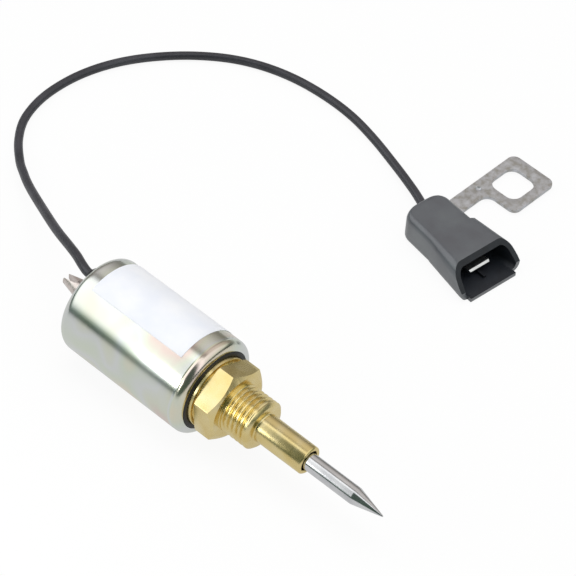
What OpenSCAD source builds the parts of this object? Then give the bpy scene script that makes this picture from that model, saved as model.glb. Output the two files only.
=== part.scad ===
// Fuel shutoff solenoid for a carburettor: a plated steel can with a coil inside, a brass screw-in
// fitting with a sliding steel needle, and one lead to a one-way connector on a steel strap.
// It lies on its side. +X runs along the solenoid towards the needle's point, +Z is up.
// Lengths along the solenoid are measured from the seat face of the hexagon, which is x = 0 there.

/* [Can] */
// Outside diameter of the drawn steel can
can_d = 24; // [22:0.5:28]
// Sheet thickness of the can
can_wall = 0.9; // [0.7:0.05:1.1]
// Distance from the hexagon's seat face back to the can's closed end
can_end = 44; // [42:0.5:50]
// Outside corner radius at the closed end
can_end_round = 2.5; // [1.8:0.1:3]
// Outside corner radius where the open end is rolled in
can_lip_round = 1.9; // [1.5:0.1:2]
// Distance from the seat face back to the front of the rolled lip
can_lip_back = 6.8; // [6.6:0.1:7.4]
// How far the rolled lip reaches in from the can's outside
can_lip_reach = 2.1; // [2:0.1:2.4]

/* [Label] */
// Thickness of the label glued round the can's upper side
label_t = 0.1; // [0.06:0.01:0.15]
// Distance from the seat face back to the label's front edge
label_back = 12.1; // [11:0.1:14]
// Length of the label along the can
label_len = 27.5; // [24:0.1:29]

/* [Brass fitting] */
// Width across the flats of the hexagon
hex_af = 16.4; // [14.5:0.1:17]
// Length of the hexagon
hex_len = 5.3; // [4.5:0.1:5.5]
// Turn of the hexagon about the axis, in degrees
hex_turn = 4; // [0:1:30]
// Gap between the rolled lip and the turned collar, which the black seal fills
collar_gap = 1.1; // [0.7:0.1:1.9]
// Depth of the groove between collar and hexagon, below the collar
groove_depth = 0.9; // [0.8:0.1:1.5]
// Width of the groove between collar and hexagon
groove_w = 0.5; // [0.3:0.1:0.8]
// Thickness of the flange that the can's lip clamps
flange_t = 1.5; // [1.2:0.1:2]
// Major diameter of the mounting thread
thread_d = 12; // [10:0.5:12]
// Length of the mounting thread with its end chamfer
thread_len = 7.9; // [6:0.1:9]
// Length of the chamfer at the end of the thread
thread_chamfer = 0.7; // [0.4:0.1:1]
// Outside diameter of the nose tube
nose_d = 6.8; // [6.4:0.1:7.4]
// Distance from the seat face to the mouth of the nose tube
nose_end = 21.2; // [16:0.2:26]
// Bore of the nose tube, which the needle passes through
nose_bore = 5; // [4.6:0.1:5.4]
// Chamfer at the mouth of the nose tube
nose_chamfer = 0.4; // [0.2:0.05:0.5]

/* [Needle and plunger] */
// Diameter of the needle
needle_d = 4.1; // [3.4:0.1:4.3]
// Distance from the seat face to the needle's point when the plunger is out
needle_reach = 42; // [36:0.5:48]
// Length of the needle's taper
needle_taper = 7.6; // [5:0.1:10]
// Radius of the small flat at the needle's point
needle_tip_r = 0.15; // [0.1:0.05:0.4]
// Length of needle that is pressed into the plunger
needle_hold = 8; // [6:0.5:9]
// Diameter of the bore that the plunger slides in
plunger_bore = 8; // [7.6:0.1:8.4]
// Running clearance of the plunger, on the radius
plunger_clear = 0.07; // [0.04:0.01:0.1]
// Travel of the plunger
stroke = 3; // [2:0.1:3.5]
// Gap left at each end of the travel
stop_gap = 0.05; // [0.03:0.01:0.1]
// Wall of the guide tube
guide_wall = 0.5; // [0.3:0.05:0.5]
// Depth of the spring's bore in the plunger
spring_bore_len = 6; // [4:0.5:7]
// Radius of the spring's bore in the plunger
spring_bore_r = 2.3; // [2.2:0.1:2.6]
// Depth of the two relief grooves along the plunger
relief_depth = 0.5; // [0.3:0.1:0.8]
// Wire diameter of the return spring
spring_wire = 0.4; // [0.3:0.05:0.5]
// Mean radius of the return spring
spring_r = 1.65; // [1.5:0.05:1.75]
// Number of coils of the return spring
spring_turns = 7; // [5:1:9]
// Thickness of the shim on the face of the fixed core
shim_t = 0.2; // [0.1:0.05:0.4]

/* [Coil] */
// Length of the fixed core that reaches into the guide tube
core_len = 11.6; // [9:0.2:13]
// Length of the core's shoulder behind the guide tube
core_shoulder = 2.5; // [2.2:0.1:3]
// Thickness of the insulating disc in the closed end
disc_t = 1.6; // [1.4:0.1:2]
// Thickness of the bobbin's flanges
bobbin_flange = 1.2; // [0.8:0.1:1.5]
// Wall of the bobbin's tube
bobbin_wall = 0.8; // [0.6:0.1:1]
// Air gap between the wound coil and the can
winding_gap = 1.2; // [1.1:0.1:2.2]
// Thickness of the tape round the winding
wrap_t = 0.33; // [0.2:0.01:0.4]
// Thickness of the steel pole washer
pole_t = 2; // [1.5:0.1:2.5]
// Clearance between pieces that are slid together
fit = 0.1; // [0.05:0.01:0.1]

/* [Seals] */
// Thickness of the black seal ring under the can's lip
seal_t = 1.2; // [1:0.1:1.5]
// How far the seal ring stands in front of the lip
seal_proud = 0.2; // [0.1:0.05:0.4]
// Section of the ring that seals the guide tube
tube_seal_t = 1.4; // [1.1:0.1:1.5]

/* [Slotted stub] */
// Length of the core's stub behind the can
stub_len = 9.4; // [7:0.2:12]
// Diameter of the stub
stub_d = 4.3; // [4:0.1:5]
// Length of the stub's tapered end
stub_taper = 4; // [2:0.1:5]
// Diameter of the end of the stub
stub_tip_d = 2.5; // [2.3:0.1:3.6]
// Width of the slot across the stub
slot_w = 1.6; // [1:0.1:1.8]
// Depth of the slot
slot_len = 4; // [3:0.1:5]

/* [Lead] */
// Diameter of the lead
lead_d = 2.2; // [2:0.1:2.3]
// Height of the lead's exit above the solenoid's axis
lead_up = 7.4; // [7.2:0.1:7.4]
// Wall of the rubber grommet round the lead
grommet_wall = 0.55; // [0.5:0.05:0.6]
// Length of the grommet behind the can
grommet_len = 1.4; // [1.2:0.1:2.4]

/* [Connector] */
// Height of the connector housing
conn_h = 8; // [7.6:0.1:8.4]
// Width of the housing at its rear
conn_w_rear = 12.4; // [12:0.1:13]
// Width of the housing at its mouth
conn_w_mouth = 18.4; // [17:0.1:19]
// Length of the narrow rear part of the housing
conn_rear_len = 11.6; // [10:0.1:13]
// How far the housing steps out on each side in front of that
conn_step = 0.9; // [0.5:0.1:1.2]
// Corner radius of the housing's rear, seen from above
conn_rear_round = 3; // [2:0.1:4]
// Radius of the housing's upper edges
conn_edge = 1.8; // [1.4:0.1:2.2]
// Radius of the housing's upper edges at the mouth
conn_mouth_edge = 3; // [2:0.1:3.2]
// Radius of the housing's lower edges
conn_foot = 1.6; // [1.2:0.1:2]
// Radius of the housing's lower edges at the mouth
conn_mouth_foot = 2.4; // [1.6:0.1:2.8]
// Length of the housing's top
conn_top_len = 20.1; // [18:0.1:22]
// How far the mouth's lower edge stands in front of its upper edge
conn_rake = 4.1; // [3:0.1:5]
// Wall of the housing round the mouth
conn_wall = 1.1; // [0.9:0.05:1.2]
// Length of the lip in front of the mouth's lower edge
lip_len = 2.2; // [1.5:0.1:3]
// Width of that lip
lip_w = 14.2; // [12:0.1:14.4]
// Depth of solid nylon behind the mouth
conn_solid = 9; // [8.2:0.1:10]
// Width of the contact blade
blade_w = 6.3; // [5.8:0.1:6.3]
// Thickness of the contact blade
blade_t = 0.8; // [0.6:0.05:0.9]
// Height of the contact blade above the surface
blade_z = 3.1; // [3.1:0.05:3.4]
// Distance from the housing's rear face to the blade's end
blade_end = 21.3; // [18:0.1:22]
// Length of the terminal's crimped barrel
crimp_len = 4.2; // [3:0.1:5]
// Outside radius of the crimped barrel
crimp_r = 1.2; // [1:0.05:1.2]

/* [Mounting strap] */
// Thickness of the steel strap
strap_t = 0.9; // [0.8:0.05:0.95]
// Thickness of the nylon under the strap
strap_floor = 0.5; // [0.4:0.05:0.55]
// Width of the strap's neck
neck_w = 4.7; // [4:0.1:5]
// How much narrower the tongue in the housing is than the neck
tongue_step = 1.2; // [0.8:0.1:1.5]
// Size of the strap's head along the solenoid
head_x = 13.6; // [12.5:0.1:15]
// Size of the strap's head across the solenoid
head_y = 15.1; // [14:0.1:17]
// Radius of the head's outer corners
head_round = 2; // [1:0.1:3]
// Radius of the hollow corner between neck and head
neck_round = 2.6; // [1:0.1:3]
// Size of the strap's hole along the solenoid
hole_x = 8.5; // [7:0.1:9]
// Size of the strap's hole across the solenoid
hole_y = 9; // [7:0.1:9.4]
// Corner radius of the hole
hole_round = 2.6; // [1:0.1:3.2]

/* [Hidden] */

// Number of sides of a turned piece and of its small rounded corners
turned_sides = 96;
corner_steps = 5;
eps = 0.01;

// Can, seen from its axis
can_r = can_d / 2;
can_in_r = can_r - can_wall;
can_lip_r = can_r - can_lip_reach;
end_in_x = -can_end + can_wall;
lip_x = -can_lip_back;
lip_in_x = lip_x - can_wall;
loose_r = can_in_r - 2 * fit;

// The label reaches from 26.25 degrees on the near side of the top to 71.25 on the far side
label_gap = 0.01;
label_near = 26.25;
label_far = 71.25;

// Brass fitting
flange_front_x = lip_in_x - seal_t;
flange_rear_x = flange_front_x - flange_t;
hex_rear_x = -hex_len;
collar_front_x = hex_rear_x - groove_w;
collar_r = can_lip_r - collar_gap;
groove_r = collar_r - groove_depth;
thread_r = thread_d / 2;
nose_r = nose_d / 2;

// Guide tube, plunger and core share one bore
bore_r = plunger_bore / 2;
guide_r = bore_r + guide_wall;
socket_r = guide_r + fit / 2;
collar_web = 0.7;
shoulder_x = -hex_len - collar_web;
disc_front_x = end_in_x + disc_t;
core_shoulder_x = end_in_x + core_shoulder;
core_face_x = core_shoulder_x + core_len;
plunger_r = bore_r - plunger_clear;
plunger_front_x = shoulder_x - stop_gap;
plunger_rear_x = core_face_x + shim_t + stroke + stop_gap;
spring_front_x = plunger_rear_x + spring_bore_len;
pole_front_x = flange_rear_x;
pole_rear_x = pole_front_x - pole_t;

// Coil
bobbin_in_r = guide_r + fit;
bobbin_tube_r = bobbin_in_r + bobbin_wall;
bobbin_flange_r = can_in_r - 5 * fit;
winding_in_r = bobbin_tube_r + fit / 2;
wrap_r = can_in_r - winding_gap;
wrap_in_r = wrap_r - wrap_t;
winding_r = wrap_in_r - fit / 5;
winding_rear_x = disc_front_x + bobbin_flange;
winding_front_x = pole_rear_x - bobbin_flange;

// Lead and the small pins of the coil
lead_r = lead_d / 2;
grommet_bore_r = lead_r + fit / 2;
grommet_r = grommet_bore_r + grommet_wall;
lead_start_x = end_in_x + 0.5;
ferrule_r = 0.9;
pin_r = 0.4;
pin_hole_r = pin_r + fit;
lead_sides = 8;
lead_steps = 2;

// The part's origin is under the middle of the solenoid's length, on the surface it lies on
origin_x = (stub_len + can_end - needle_reach) / 2;

// Route of the lead from the can to the connector, over the surface
lead_route = [
    [-40.4, 0, 19.4],
    [-43.1, 0.8, 19.2],
    [-46.6, 2.4, 18.4],
    [-50.4, 4, 17.2],
    [-58.7, 7.6, 14],
    [-68.8, 12.8, 9.6],
    [-79.6, 18.5, 5.2],
    [-85.8, 22.2, 3.1],
    [-90.3, 25.2, 1.9],
    [-96.2, 30.3, 1.2],
    [-100.6, 36.4, 1.2],
    [-103, 44.3, 1.2],
    [-103.2, 53, 1.2],
    [-101.6, 61.3, 1.2],
    [-98.3, 69.2, 1.2],
    [-93.4, 76.6, 1.2],
    [-87.4, 83.2, 1.2],
    [-80.3, 88.8, 1.2],
    [-72.4, 92.7, 1.2],
    [-63.5, 95, 1.2],
    [-53.8, 95.7, 1.2],
    [-44.6, 95, 1.2],
    [-35.7, 92.9, 1.2],
    [-27, 90, 1.3],
    [-20.2, 87.2, 1.9],
    [-14.4, 84.4, 2.7]];

// Where the connector lies: the middle of its rear face, and its turn in degrees
conn_x = -9.6;
conn_y = 79.8;
conn_turn = -8;
conn_ahead = [cos(conn_turn), sin(conn_turn), 0];
conn_side = [-sin(conn_turn), cos(conn_turn), 0];
conn_middle = [conn_x, conn_y, blade_z];
lead_side = 1.8;

// Where the strap's hole lies, and the strap's turn in degrees
hole_place = [-1.4, 105.2, strap_floor + fit];
strap_turn = -2;
strap_left = -head_x / 2;
strap_near = -7.1;
strap_exit = -17.5;
tongue_end = -28.6;

// Connector
mouth_low_x = conn_top_len + conn_rake;
housing_front_x = mouth_low_x + lip_len;
half_rear = conn_w_rear / 2;
half_mouth = conn_w_mouth / 2;
strap_slot_top = strap_floor + strap_t + 2 * fit;
strap_slot_front = 5.4;
strap_slot_left = 4.2;
crimp_start = 3;

// Points of a round corner in a flat outline
function arc_points(cx, cy, r, from, to, steps = corner_steps) =
    [for (i = [0:steps]) let (a = from + (to - from) * i / steps) [cx + r * cos(a), cy + r * sin(a)]];

// Places a shape drawn about the solenoid's axis in the part's frame
module on_axis() {
    translate([origin_x, 0, can_r]) children();
}

// Turns a half outline of [radius, place along the axis] about the solenoid's axis
module turned(outline) {
    rotate([0, 90, 0]) rotate_extrude($fn = turned_sides) polygon(outline);
}

// A straight round tube or disc between two places along the axis
module ring(out_r, in_r, from, to) {
    turned([[in_r, from], [out_r, from], [out_r, to], [in_r, to]]);
}

// A round bar or hole beside the axis, between two places along it
module bar(r, from, to, up = 0) {
    translate([from, 0, up]) rotate([0, 90, 0]) cylinder(r = r, h = to - from, $fn = 40);
}

// Deep-drawn can: closed end with a centre hole and a grommet hole, open end rolled in
module can_shell() {
    color([0.80, 0.80, 0.74]) on_axis() difference() {
        turned(concat(
            [[stub_d / 2 + fit / 2, -can_end]],
            arc_points(can_r - can_end_round, -can_end + can_end_round, can_end_round, -90, 0),
            arc_points(can_r - can_lip_round, lip_x - can_lip_round, can_lip_round, 0, 90),
            [[can_lip_r, lip_x], [can_lip_r, lip_in_x]],
            arc_points(can_r - can_lip_round, lip_x - can_lip_round, can_lip_round - can_wall, 90, 0),
            arc_points(can_r - can_end_round, -can_end + can_end_round, can_end_round - can_wall, 0, -90),
            [[stub_d / 2 + fit / 2, end_in_x]]));
        bar(grommet_r + fit / 2, -can_end - 1, end_in_x + 1, lead_up);
    }
}

// Thin white label glued on the can, bare of any print
module can_label() {
    in_r = can_r + label_gap;
    color([0.94, 0.94, 0.96]) on_axis() rotate([0, 90, 0]) rotate([0, 0, 180 - label_far])
        rotate_extrude(angle = label_near + label_far, $fn = turned_sides)
            translate([in_r, -label_back - label_len]) square([label_t, label_len]);
}

// Soft iron core: pole in the guide tube, shoulder, and a tapered stub with a screwdriver slot
module fixed_core() {
    stub_end = -can_end - stub_len;
    color([0.62, 0.58, 0.55]) on_axis() difference() {
        turned([[0, stub_end], [stub_tip_d / 2, stub_end], [stub_d / 2, stub_end + stub_taper],
            [stub_d / 2, end_in_x], [guide_r - fit / 2, end_in_x], [guide_r - fit / 2, core_shoulder_x],
            [bore_r - fit / 2, core_shoulder_x], [bore_r - fit / 2, core_face_x], [0, core_face_x]]);
        translate([stub_end - 1, -slot_w / 2, -can_r]) cube([slot_len + 1 - slot_w / 2, slot_w, can_d]);
        translate([stub_end + slot_len - slot_w / 2, 0, -can_r]) cylinder(d = slot_w, h = can_d, $fn = 24);
    }
}

// Rubber grommet in the closed end, with a collar and a short taper round the lead
module lead_grommet() {
    collar_t = 0.8;
    color([0.10, 0.10, 0.10]) on_axis() translate([0, 0, lead_up]) turned([
        [grommet_bore_r, -can_end - grommet_len], [grommet_bore_r + 0.3, -can_end - grommet_len],
        [grommet_r, -can_end - collar_t], [grommet_r + 0.4, -can_end - collar_t],
        [grommet_r + 0.4, -can_end], [grommet_r, -can_end], [grommet_r, end_in_x],
        [grommet_bore_r, end_in_x]]);
}

// Fibre disc between the closed end and the bobbin, with a clear hole for the lead's end
module rear_insulator() {
    color([0.55, 0.35, 0.22]) on_axis() difference() {
        turned([[guide_r, end_in_x], [loose_r - can_end_round + can_wall, end_in_x],
            [loose_r, end_in_x + can_end_round - can_wall], [loose_r, disc_front_x], [guide_r, disc_front_x]]);
        bar(lead_r + fit, end_in_x - 1, disc_front_x + 1, lead_up);
    }
}

// Moulded bobbin with a hole in each flange for the ends of the winding
module bobbin() {
    color([0.85, 0.82, 0.72]) on_axis() difference() {
        turned([[bobbin_in_r, disc_front_x], [bobbin_flange_r, disc_front_x],
            [bobbin_flange_r, winding_rear_x], [bobbin_tube_r, winding_rear_x],
            [bobbin_tube_r, winding_front_x], [bobbin_flange_r, winding_front_x],
            [bobbin_flange_r, pole_rear_x], [bobbin_in_r, pole_rear_x]]);
        bar(pin_hole_r, disc_front_x - 1, winding_rear_x + 1, lead_up);
        bar(pin_hole_r, winding_front_x - 1, pole_rear_x + 1, -lead_up);
    }
}

// Layers of copper wire, as one solid
module coil_winding() {
    color([0.72, 0.40, 0.20]) on_axis() ring(winding_r, winding_in_r, winding_rear_x, winding_front_x);
}

// Tape round the winding
module coil_wrap() {
    color([0.85, 0.75, 0.35]) on_axis() ring(wrap_r, wrap_in_r, winding_rear_x, winding_front_x);
}

// Crimp that joins the lead to the winding, with its pin through the bobbin's flange
module lead_ferrule() {
    color([0.78, 0.66, 0.35]) on_axis() translate([0, 0, lead_up]) turned([
        [0, lead_start_x], [ferrule_r, lead_start_x], [ferrule_r, disc_front_x], [pin_r, disc_front_x],
        [pin_r, winding_rear_x], [0, winding_rear_x]]);
}

// Earthed end of the winding, held against the pole washer
module earth_pin() {
    color([0.72, 0.40, 0.20]) on_axis() bar(pin_r, winding_front_x, pole_rear_x, -lead_up);
}

// Thin tube that the plunger slides in, over the core and into the brass fitting
module guide_tube() {
    color([0.83, 0.70, 0.38]) on_axis() ring(guide_r, bore_r, core_shoulder_x, shoulder_x);
}

// Steel washer that carries the field from the can to the plunger
module pole_washer() {
    color([0.60, 0.60, 0.60]) on_axis() ring(loose_r, bobbin_in_r, pole_rear_x, pole_front_x);
}

// Thin shim on the core's face, which lets the plunger come free
module shim_washer() {
    color([0.85, 0.70, 0.35]) on_axis() ring(bore_r - fit, spring_bore_r, core_face_x, core_face_x + shim_t);
}

// Rubber ring round the guide tube, in the fitting's rear face
module tube_seal() {
    seal_r = tube_seal_t / 2;
    color([0.08, 0.08, 0.08]) on_axis() turned(
        arc_points(guide_r + seal_r + fit / 4, flange_rear_x + seal_r, seal_r, 0, 345, 23));
}

// Black seal ring that the can's lip presses on the fitting's flange
module seal_ring() {
    face_x = lip_x + seal_proud;
    nose_out_r = can_lip_r - fit / 2;
    nose_in_r = collar_r + fit / 2;
    edge = 0.25;
    color([0.07, 0.07, 0.07]) on_axis() turned(concat(
        [[nose_in_r, flange_front_x], [can_in_r - fit / 2, flange_front_x]],
        arc_points(can_r - can_lip_round, lip_x - can_lip_round, can_lip_round - can_wall - fit / 2, 0, 90),
        [[nose_out_r, lip_in_x - fit / 2], [nose_out_r, face_x - edge], [nose_out_r - edge, face_x],
            [nose_in_r + edge, face_x], [nose_in_r, face_x - edge]]));
}

// One turned piece of brass: flange, collar, groove, hexagon, thread blank and nose tube
module valve_body() {
    hex_corner_r = hex_af / 2 / cos(30);
    edge = 0.6;
    color([0.80, 0.66, 0.28]) on_axis() difference() {
        union() {
            ring(loose_r, 0, flange_rear_x, flange_front_x);
            turned([[0, flange_front_x - eps], [collar_r, flange_front_x - eps],
                [collar_r, collar_front_x - 0.2], [collar_r - 0.2, collar_front_x], [0, collar_front_x]]);
            ring(groove_r, 0, collar_front_x - eps, hex_rear_x + eps);
            intersection() {
                rotate([hex_turn, 0, 0]) translate([hex_rear_x, 0, 0]) rotate([0, 90, 0])
                    cylinder(r = hex_corner_r, h = hex_len, $fn = 6);
                turned([[0, hex_rear_x], [hex_corner_r - edge, hex_rear_x],
                    [hex_corner_r + eps, hex_rear_x + edge * tan(30)],
                    [hex_corner_r + eps, -(hex_corner_r - hex_af / 2 + edge) * tan(30)],
                    [hex_af / 2 - edge, 0], [0, 0]]);
            }
            turned([[0, -eps], [thread_r, -eps], [thread_r, thread_len - thread_chamfer],
                [thread_r - thread_chamfer, thread_len], [0, thread_len]]);
            turned([[0, thread_len - eps], [nose_r, thread_len - eps], [nose_r, nose_end - nose_chamfer],
                [nose_r - nose_chamfer, nose_end], [0, nose_end]]);
        }
        turned([[0, flange_rear_x - 1], [guide_r + tube_seal_t + fit / 2, flange_rear_x - 1],
            [guide_r + tube_seal_t + fit / 2, flange_rear_x + tube_seal_t],
            [socket_r, flange_rear_x + tube_seal_t], [socket_r, shoulder_x], [nose_bore / 2, shoulder_x],
            [nose_bore / 2, nose_end - nose_chamfer / 2],
            [nose_bore / 2 + nose_chamfer / 2 + eps, nose_end + eps], [0, nose_end + eps]]);
    }
}

// Steel plunger with a spring bore behind, a needle bore in front and two relief grooves
module armature() {
    color([0.70, 0.70, 0.70]) on_axis() difference() {
        ring(plunger_r, 0, plunger_rear_x, plunger_front_x);
        bar(spring_bore_r, plunger_rear_x - 1, spring_front_x);
        bar(needle_d / 2 + fit / 5, plunger_front_x - needle_hold, plunger_front_x + 1);
        for (side = [-1, 1]) translate([plunger_rear_x - 1, side * plunger_r - relief_depth, -0.5])
            cube([plunger_front_x - plunger_rear_x + 2, 2 * relief_depth, 1]);
    }
}

// Ground stainless needle with a long taper
module needle() {
    needle_r = needle_d / 2;
    color([0.86, 0.87, 0.88]) on_axis() turned([
        [0, plunger_front_x - needle_hold], [needle_r, plunger_front_x - needle_hold],
        [needle_r, needle_reach - needle_taper], [needle_tip_r, needle_reach], [0, needle_reach]]);
}

// Open round wire wound in a helix about the solenoid's axis
module return_spring() {
    steps_per_turn = 14;
    wire_sides = 6;
    wire_r = spring_wire / 2;
    rings = spring_turns * steps_per_turn;
    rise = spring_front_x - core_face_x - 2 * wire_r;
    points = [for (i = [0:rings]) let (a = 360 * i / steps_per_turn, x = core_face_x + wire_r + rise * i / rings)
        for (k = [0:wire_sides - 1]) let (b = 360 * k / wire_sides, r = spring_r + wire_r * cos(b))
            [x + wire_r * sin(b), r * cos(a), r * sin(a)]];
    sides = [for (i = [0:rings - 1]) for (k = [0:wire_sides - 1]) let (n = (k + 1) % wire_sides)
        [i * wire_sides + k, (i + 1) * wire_sides + k, (i + 1) * wire_sides + n, i * wire_sides + n]];
    start = [[for (k = [0:wire_sides - 1]) k]];
    finish = [[for (k = [wire_sides - 1:-1:0]) rings * wire_sides + k]];
    color([0.75, 0.75, 0.77]) on_axis() polyhedron(concat(points), concat(sides, start, finish));
}

// Turns a direction into one of length 1
function unit(v) = v / norm(v);

// A point on the smooth curve through four neighbouring points of a route
function smooth_point(a, b, c, d, t) = 0.5 * (2 * b + (c - a) * t + (2 * a - 5 * b + 4 * c - d) * t * t
    + (3 * b - a - 3 * c + d) * t * t * t);

// The whole route as a smooth curve, with straight runs in the grommet and in the connector
lead_height = can_r + lead_up;
lead_ends = concat([[origin_x + lead_start_x, 0, lead_height]],
    lead_route, [conn_middle + lead_side * conn_side, conn_middle + (crimp_start - 0.4) * conn_ahead]);
last_end = len(lead_ends) - 1;
lead_curve = concat([for (i = [0:last_end - 1]) for (s = [0:lead_steps - 1])
    (i == 0 || i == last_end - 1) ? lead_ends[i] + (lead_ends[i + 1] - lead_ends[i]) * s / lead_steps
    : smooth_point(lead_ends[i - 1], lead_ends[i], lead_ends[i + 1], lead_ends[min(i + 2, last_end)],
        s / lead_steps)], [lead_ends[last_end]]);

// Insulated lead, swept along its route
module lead() {
    last = len(lead_curve) - 1;
    points = [for (i = [0:last]) let (
            ahead = (i == 0) ? lead_curve[1] - lead_curve[0]
                : (i == last) ? lead_curve[last] - lead_curve[last - 1]
                : unit(lead_curve[i + 1] - lead_curve[i]) + unit(lead_curve[i] - lead_curve[i - 1]),
            along = unit(ahead), side = unit(cross(along, [0, 0, 1])), up = cross(side, along))
        for (k = [0:lead_sides - 1]) let (a = 360 * (k + 0.5) / lead_sides)
            lead_curve[i] + lead_r * (cos(a) * side + sin(a) * up)];
    sides = [for (i = [0:last - 1]) for (k = [0:lead_sides - 1]) let (n = (k + 1) % lead_sides)
        [i * lead_sides + k, i * lead_sides + n, (i + 1) * lead_sides + n, (i + 1) * lead_sides + k]];
    start = [[for (k = [lead_sides - 1:-1:0]) k]];
    finish = [[for (k = [0:lead_sides - 1]) last * lead_sides + k]];
    color([0.10, 0.10, 0.11]) polyhedron(points, concat(sides, start, finish));
}

// Places a shape drawn along the connector's own length in the part's frame
module on_connector() {
    translate([conn_x, conn_y, 0]) rotate([0, 0, conn_turn]) children();
}

// A thin slice across the housing, with round edges above and below
module slice(x, half, low, high, edge, foot) {
    translate([x, 0, 0]) rotate([90, 0, 90]) linear_extrude(0.02) polygon(concat(
        arc_points(half - edge, high - edge, edge, 0, 90, 4),
        arc_points(edge - half, high - edge, edge, 90, 180, 4),
        arc_points(foot - half, low + foot, foot, 180, 270, 3),
        arc_points(half - foot, low + foot, foot, -90, 0, 3)));
}

// A block across the whole housing, drawn as its outline seen from the side
module side_block(outline) {
    rotate([90, 0, 0]) linear_extrude(2 * conn_w_mouth, center = true) polygon(outline);
}

// Outside of the housing: narrow round rear, a step, and a part that flares to the raked mouth
module housing_outside() {
    intersection() {
        union() {
            hull() {
                slice(0, half_rear, 0, conn_h, conn_edge, conn_foot);
                slice(conn_rear_len + 0.2, half_rear, 0, conn_h, conn_edge, conn_foot);
            }
            hull() {
                slice(conn_rear_len - 0.7, half_rear, 0, conn_h, conn_edge, conn_foot);
                slice(conn_rear_len, half_rear + conn_step, 0, conn_h, conn_edge, conn_foot);
                slice(mouth_low_x, half_mouth, 0, conn_h, conn_mouth_edge, conn_mouth_foot);
            }
        }
        side_block([[-1, -1], [mouth_low_x, -1], [mouth_low_x, 0], [conn_top_len, conn_h],
            [conn_top_len, conn_h + 1], [-1, conn_h + 1]]);
        translate([0, 0, -1]) linear_extrude(conn_h + 2) polygon(concat(
            arc_points(conn_rear_round, conn_rear_round - half_rear, conn_rear_round, 180, 270),
            [[conn_rear_round + 1, -conn_w_mouth], [housing_front_x, -conn_w_mouth],
                [housing_front_x, conn_w_mouth], [conn_rear_round + 1, conn_w_mouth]],
            arc_points(conn_rear_round, half_rear - conn_rear_round, conn_rear_round, 90, 180)));
    }
}

// Hollow of the mouth, one wall inside the housing
module mouth_hollow() {
    low = conn_wall;
    high = conn_h - conn_wall;
    edge = conn_edge - 0.6;
    hull() {
        slice(conn_solid, half_rear - conn_wall, low, high, edge, 0.8);
        slice(conn_rear_len + 1, half_rear + conn_step - conn_wall, low, high, edge, 0.8);
        slice(housing_front_x, half_mouth - conn_wall + 0.2, low, high, conn_mouth_edge - 0.8, conn_mouth_foot - 0.8);
    }
}

// Moulded nylon housing with its mouth, lip, keying ribs, terminal chamber and strap slot
module connector_housing() {
    rib = 0.7;
    chamber = blade_w / 2 + fit;
    color([0.16, 0.17, 0.18]) on_connector() difference() {
        union() {
            difference() {
                housing_outside();
                mouth_hollow();
            }
            translate([mouth_low_x - 2, -lip_w / 2, 0]) cube([lip_len + 2, lip_w, conn_wall]);
            for (side = [-1.2, 1.2]) translate([conn_solid - eps, side - rib / 2, conn_h - conn_wall - rib])
                cube([conn_top_len - conn_solid - 0.6, rib, rib + eps]);
            translate([conn_solid - eps, -rib / 2, conn_wall - eps])
                cube([mouth_low_x - conn_solid - 1, rib, rib]);
        }
        hull() {
            bar(lead_r + fit, -1, crimp_start + 0.5, blade_z);
            translate([0, lead_side + 0.4, 0]) bar(lead_r + fit, -1, crimp_start - 1, blade_z);
        }
        translate([crimp_start - fit, -chamber, blade_z - crimp_r - fit])
            cube([conn_solid, 2 * chamber, 2 * (crimp_r + fit)]);
        translate([-1, -strap_slot_left, strap_floor])
            cube([1 + strap_slot_front, strap_slot_left + conn_w_mouth, strap_slot_top - strap_floor]);
    }
}

// Tinned brass blade with a crimped barrel round the lead's core
module blade_terminal() {
    barrel_end = crimp_start + crimp_len;
    tip = 0.8;
    hole_back = 4;
    color([0.82, 0.82, 0.80]) on_connector() translate([0, 0, blade_z]) difference() {
        union() {
            bar(crimp_r, crimp_start, barrel_end);
            translate([0, 0, -blade_t / 2]) linear_extrude(blade_t) polygon([
                [barrel_end - 0.5, -blade_w / 2], [blade_end - tip, -blade_w / 2], [blade_end, tip - blade_w / 2],
                [blade_end, blade_w / 2 - tip], [blade_end - tip, blade_w / 2], [barrel_end - 0.5, blade_w / 2]]);
        }
        translate([blade_end - hole_back, 0, -blade_t]) cylinder(r = 0.8, h = 2 * blade_t, $fn = 24);
    }
}

// Flat outline of the strap: head with its hole, neck, and the narrower tongue in the housing
module strap_outline() {
    difference() {
        offset(r = -neck_round, $fn = 32) offset(delta = neck_round) union() {
            offset(r = head_round, $fn = 32) offset(delta = -head_round)
                translate([strap_left, strap_near]) square([head_x, head_y]);
            translate([strap_left, strap_exit]) square([neck_w, head_y]);
        }
        offset(r = hole_round, $fn = 32) offset(delta = -hole_round) square([hole_x, hole_y], center = true);
    }
    translate([strap_left + tongue_step, tongue_end])
        square([neck_w - tongue_step, strap_exit - tongue_end + eps]);
}

// Blanked steel strap, its tongue held in the housing's slot
module mounting_strap() {
    color([0.66, 0.66, 0.68]) translate(hole_place) rotate([0, 0, strap_turn])
        linear_extrude(strap_t) strap_outline();
}

can_shell();
can_label();
fixed_core();
lead_grommet();
rear_insulator();
bobbin();
coil_winding();
coil_wrap();
lead_ferrule();
earth_pin();
guide_tube();
pole_washer();
shim_washer();
tube_seal();
seal_ring();
valve_body();
armature();
needle();
return_spring();
lead();
connector_housing();
blade_terminal();
mounting_strap();
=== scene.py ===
"""Looks of a fuel shutoff solenoid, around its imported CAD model.

The solenoid lies on a white surface: a plated steel can, a brass screw-in fitting with a steel
needle, and a lead that curves round to a one-way connector on a steel strap.
Lengths are written in millimetres and turned to metres where a mesh is made. Along the solenoid
they are measured from the seat face of the hexagon, and out from the solenoid's axis.
"""
import math

import bpy
from mathutils import Matrix, Vector


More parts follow.
